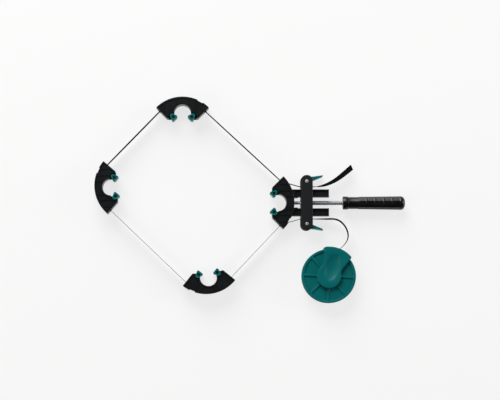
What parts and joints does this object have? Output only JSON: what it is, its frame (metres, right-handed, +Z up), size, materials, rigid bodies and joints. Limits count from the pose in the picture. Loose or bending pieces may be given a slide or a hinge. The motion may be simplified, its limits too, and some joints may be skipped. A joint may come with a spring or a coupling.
{
  "type": "frame strap clamp",
  "caption": "Strap clamp for frames: corner jaws with swivelling pads on a flat woven strap, drawn tight by a screw tensioner with cam levers; the spare strap winds on a reel.",
  "frame": {"origin": "on the surface that the clamp lies on, below the spindle's axis, in the middle of the fixed jaw's bridge", "axes": "+X along the spindle towards the handle, +Y across it in the plane of the strap loop, +Z up from the surface"},
  "size_m": [0.5458, 0.3623, 0.0331],
  "materials": {
    "jaw": "black moulded nylon, fine satin",
    "pad": "teal moulded plastic",
    "pin": "bright drawn steel",
    "strap": "black woven nylon webbing",
    "crossbar": "black powder coat",
    "slider": "black moulded nylon",
    "lever": "teal moulded plastic",
    "lever_pin": "bright zinc plate",
    "spring": "spring steel wire",
    "screw": "zinc plate",
    "nut": "zinc plate",
    "spindle": "bright zinc-plated rolled thread",
    "handle": "gloss black moulded plastic",
    "reel": "teal moulded plastic",
    "guide": "teal moulded plastic, smooth"
  },
  "bodies": {
    "fixed_jaw": {"jaw_fixed": "jaw", "pad_pins_fixed": "pin", "thrust_disc": "pin", "keeper_pin": "pin", "strap_turn_upper": "strap", "strap_turn_lower": "strap", "strap_stretch_upper": "strap", "strap_stretch_lower": "strap"},
    "spindle": {"spindle": "spindle", "handle": "handle"},
    "crossbar": {"crossbar_top_plate": "crossbar", "crossbar_bottom_plate": "crossbar", "slider_block": "slider", "spindle_nut": "nut", "crossbar_screws": "screw", "lever_pin_upper": "lever_pin", "lever_pin_lower": "lever_pin", "lever_spring_upper": "spring", "lever_spring_lower": "spring", "strap_grip_upper": "strap", "strap_grip_lower": "strap", "strap_tail": "strap", "strap_feed": "strap", "strap_lead": "strap", "reel_guide_front": "guide", "reel_guide_rear": "guide", "reel_screw": "screw"},
    "cam_lever_upper": {"cam_lever_upper": "lever"},
    "cam_lever_lower": {"cam_lever_lower": "lever"},
    "reel": {"reel_drum": "reel", "reel_front_flange": "reel", "strap_coil": "strap"},
    "top_jaw": {"jaw_top": "jaw", "pad_pins_top": "pin", "strap_bend_top": "strap"},
    "left_jaw": {"jaw_left": "jaw", "pad_pins_left": "pin", "strap_bend_left": "strap"},
    "bottom_jaw": {"jaw_bottom": "jaw", "pad_pins_bottom": "pin", "strap_bend_bottom": "strap"},
    "upper_left_run": {"strap_run_upper_left": "strap"},
    "upper_right_run": {"strap_run_upper_right": "strap"},
    "lower_left_run": {"strap_run_lower_left": "strap"},
    "lower_right_run": {"strap_run_lower_right": "strap"},
    "pad_top_a": {"pad_top_a": "pad"},
    "pad_top_b": {"pad_top_b": "pad"},
    "pad_left_a": {"pad_left_a": "pad"},
    "pad_left_b": {"pad_left_b": "pad"},
    "pad_bottom_a": {"pad_bottom_a": "pad"},
    "pad_bottom_b": {"pad_bottom_b": "pad"},
    "pad_fixed_a": {"pad_fixed_a": "pad"},
    "pad_fixed_b": {"pad_fixed_b": "pad"}
  },
  "joints": [
    {"name": "crossbar_slide", "type": "slide", "parent": "fixed_jaw", "child": "crossbar", "axis": [1, 0, 0], "range_m": [-0.004, 0.025], "deforming": ["strap_stretch_upper", "strap_stretch_lower"]},
    {"name": "spindle_turn", "type": "hinge", "parent": "fixed_jaw", "child": "spindle", "pos_m": [0, 0, 0.015], "axis": [-1, 0, 0], "range_deg": [-1198.09, 7488.01]},
    {"name": "top_jaw_slide", "type": "slide", "parent": "fixed_jaw", "child": "top_jaw", "axis": [0, -1, 0], "range_m": [-0.00178, 0.0111]},
    {"name": "left_jaw_slide", "type": "slide", "parent": "fixed_jaw", "child": "left_jaw", "axis": [0.9971, 0.0767, 0], "range_m": [-0.00188, 0.01168]},
    {"name": "bottom_jaw_slide", "type": "slide", "parent": "fixed_jaw", "child": "bottom_jaw", "axis": [-0.1097, 0.994, 0], "range_m": [-0.00217, 0.01352]},
    {"name": "upper_left_run_slide", "type": "slide", "parent": "fixed_jaw", "child": "upper_left_run", "axis": [0.7522, -0.6589, 0], "range_m": [-0.00125, 0.00775], "deforming": ["strap_run_upper_left"]},
    {"name": "lower_left_run_slide", "type": "slide", "parent": "fixed_jaw", "child": "lower_left_run", "axis": [0.5786, 0.8156, 0], "range_m": [-0.00142, 0.00879], "deforming": ["strap_run_lower_left"]},
    {"name": "upper_right_run_turn", "type": "hinge", "parent": "fixed_jaw", "child": "upper_right_run", "pos_m": [-0.01829, 0.04031, 0.015], "axis": [0, 0, 1], "range_deg": [-0.43, 2.63], "deforming": ["strap_run_upper_right"]},
    {"name": "lower_right_run_turn", "type": "hinge", "parent": "fixed_jaw", "child": "lower_right_run", "pos_m": [-0.01829, -0.04031, 0.015], "axis": [0, 0, 1], "range_deg": [-4.78, 0.77], "deforming": ["strap_run_lower_right"]},
    {"name": "pad_top_a_turn", "type": "hinge", "parent": "top_jaw", "child": "pad_top_a", "pos_m": [-0.2056, 0.15055, 0.015], "axis": [0, 0, 1], "range_deg": [-15, 45]},
    {"name": "pad_top_b_turn", "type": "hinge", "parent": "top_jaw", "child": "pad_top_b", "pos_m": [-0.173, 0.15055, 0.015], "axis": [0, 0, 1], "range_deg": [-45, 15]},
    {"name": "pad_left_a_turn", "type": "hinge", "parent": "left_jaw", "child": "pad_left_a", "pos_m": [-0.30621, 0.01127, 0.015], "axis": [0, 0, 1], "range_deg": [-15, 45]},
    {"name": "pad_left_b_turn", "type": "hinge", "parent": "left_jaw", "child": "pad_left_b", "pos_m": [-0.30871, 0.04377, 0.015], "axis": [0, 0, 1], "range_deg": [-45, 15]},
    {"name": "pad_bottom_a_turn", "type": "hinge", "parent": "bottom_jaw", "child": "pad_bottom_a", "pos_m": [-0.12823, -0.12238, 0.015], "axis": [0, 0, 1], "range_deg": [-15, 45]},
    {"name": "pad_bottom_b_turn", "type": "hinge", "parent": "bottom_jaw", "child": "pad_bottom_b", "pos_m": [-0.16064, -0.12596, 0.015], "axis": [0, 0, 1], "range_deg": [-45, 15]},
    {"name": "pad_fixed_a_turn", "type": "hinge", "parent": "fixed_jaw", "child": "pad_fixed_a", "pos_m": [-0.02885, 0.0163, 0.015], "axis": [0, 0, 1], "range_deg": [-15, 45]},
    {"name": "pad_fixed_b_turn", "type": "hinge", "parent": "fixed_jaw", "child": "pad_fixed_b", "pos_m": [-0.02885, -0.0163, 0.015], "axis": [0, 0, 1], "range_deg": [-45, 15]},
    {"name": "cam_lever_upper_turn", "type": "hinge", "parent": "crossbar", "child": "cam_lever_upper", "pos_m": [0.0287, 0.03735, 0.015], "axis": [0, 0, 1], "range_deg": [0, 35], "stiffness_Nm_per_rad": 0.02, "springref_deg": -20.05},
    {"name": "cam_lever_lower_turn", "type": "hinge", "parent": "crossbar", "child": "cam_lever_lower", "pos_m": [0.0287, -0.03735, 0.015], "axis": [0, 0, -1], "range_deg": [0, 35], "stiffness_Nm_per_rad": 0.02, "springref_deg": -20.05},
    {"name": "reel_turn", "type": "hinge", "parent": "crossbar", "child": "reel", "pos_m": [0.0672, -0.1287, 0.015], "axis": [0, 0, 1], "continuous": true}
  ],
  "couplings": [
    {"joint": "spindle_turn", "follows": "crossbar_slide", "rad_per_m": 5026.5},
    {"joint": "top_jaw_slide", "follows": "crossbar_slide", "ratio": 0.42667},
    {"joint": "left_jaw_slide", "follows": "crossbar_slide", "ratio": 0.44905},
    {"joint": "bottom_jaw_slide", "follows": "crossbar_slide", "ratio": 0.51949},
    {"joint": "upper_left_run_slide", "follows": "crossbar_slide", "ratio": 0.29761},
    {"joint": "lower_left_run_slide", "follows": "crossbar_slide", "ratio": 0.33766},
    {"joint": "upper_right_run_turn", "follows": "crossbar_slide", "rad_per_m": 1.7606},
    {"joint": "lower_right_run_turn", "follows": "crossbar_slide", "rad_per_m": -3.2011}
  ]
}
